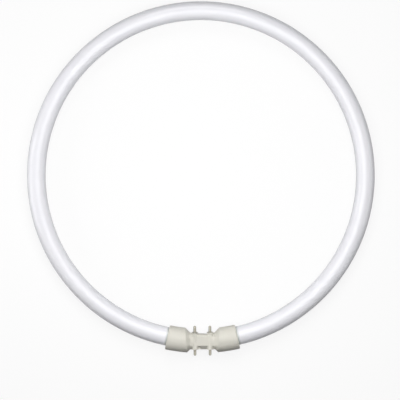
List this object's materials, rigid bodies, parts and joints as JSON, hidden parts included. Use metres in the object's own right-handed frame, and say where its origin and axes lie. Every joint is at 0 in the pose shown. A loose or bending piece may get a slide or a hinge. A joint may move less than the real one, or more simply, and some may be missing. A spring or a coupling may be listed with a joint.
{
  "type": "circular fluorescent tube",
  "caption": "Ring-shaped fluorescent lamp: a slim white glass tube bent into a circle, its ends joined by a split moulded cap with contact pins pointing inwards and outwards.",
  "frame": {"origin": "middle of the bottom of the whole lamp as it lies flat: level with the underside of the cap's sleeves, on the lamp's middle plane, half way between the tips of the outer pins and the far side of the ring", "axes": "+Z along the ring's own axis, upwards as the lamp lies flat; -Y from the ring's centre through the cap, along the pins; +X to the right with the cap nearest"},
  "size_m": [0.299, 0.3046, 0.021],
  "materials": {
    "coated_glass": "clear glass over a white phosphor coating",
    "cap_plastic": "satin moulded",
    "pin_brass": "drawn, slightly dulled",
    "lead_wire": "drawn wire",
    "cement": "cured, dull"
  },
  "bodies": {
    "root": {"glass_tube": "coated_glass", "cap_front_shell": "cap_plastic", "cap_rear_shell": "cap_plastic", "inner_left_pin": "pin_brass", "inner_right_pin": "pin_brass", "outer_left_pin": "pin_brass", "outer_right_pin": "pin_brass", "inner_left_lead": "lead_wire", "inner_right_lead": "lead_wire", "outer_left_lead": "lead_wire", "outer_right_lead": "lead_wire", "left_cement": "cement", "right_cement": "cement"}
  },
  "joints": []
}
